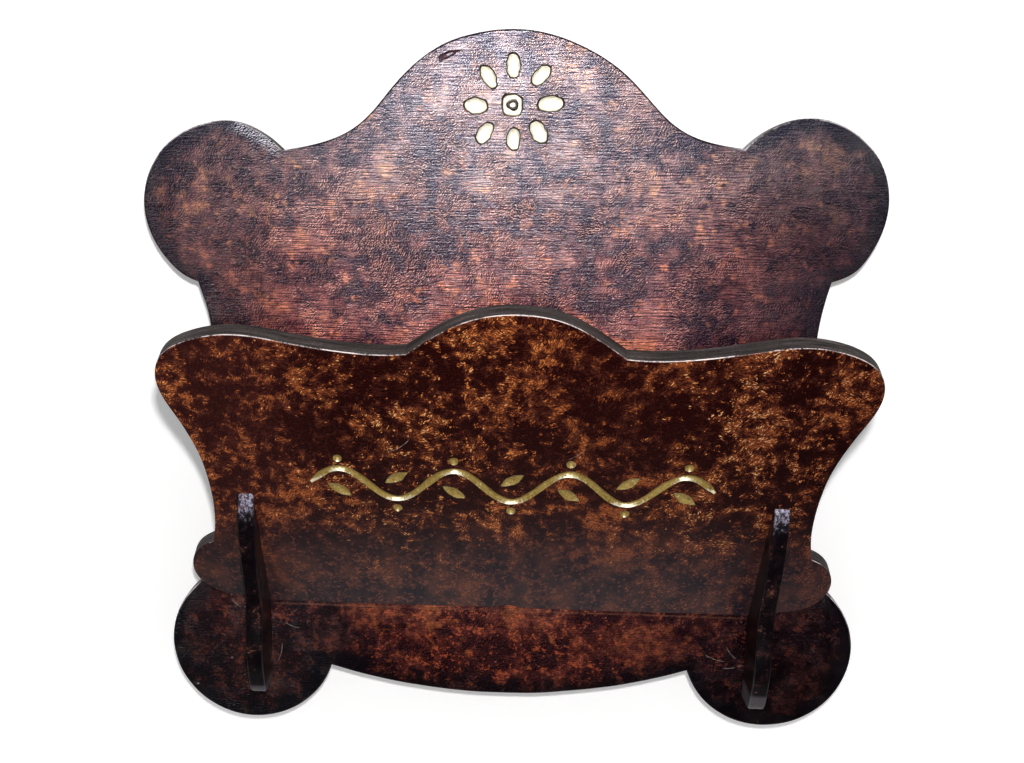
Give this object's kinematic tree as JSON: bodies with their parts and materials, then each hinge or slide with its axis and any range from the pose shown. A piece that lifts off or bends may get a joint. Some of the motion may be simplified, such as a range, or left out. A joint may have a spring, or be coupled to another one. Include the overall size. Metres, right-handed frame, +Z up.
{
  "type": "wall letter rack",
  "caption": "Wall letter rack of shaped, painted boards: an arched back board and a leaning front board that form an open-sided pocket on two brackets.",
  "frame": {"origin": "middle of the hanging plate's round hole, on the wall plane", "axes": "+Z up, +Y into the wall, +X along the boards to the right as seen from the front"},
  "size_m": [0.264, 0.0691, 0.26],
  "materials": {
    "back_board_finish": "semi-gloss varnish over mottled dark red-brown paint, gilded carving",
    "front_board_finish": "gloss varnish over mottled brown paint, gilded carving",
    "bracket_finish": "near-black gloss paint",
    "plate_brass": "aged",
    "pin_steel": "dull"
  },
  "bodies": {
    "root": {"back_board": "back_board_finish", "front_board": "front_board_finish", "left_bracket": "bracket_finish", "right_bracket": "bracket_finish", "hanger_plate": "plate_brass", "hanger_screws": "plate_brass", "seam_pins": "pin_steel", "bracket_foot_pins": "pin_steel", "bracket_top_pins": "pin_steel"}
  },
  "joints": []
}
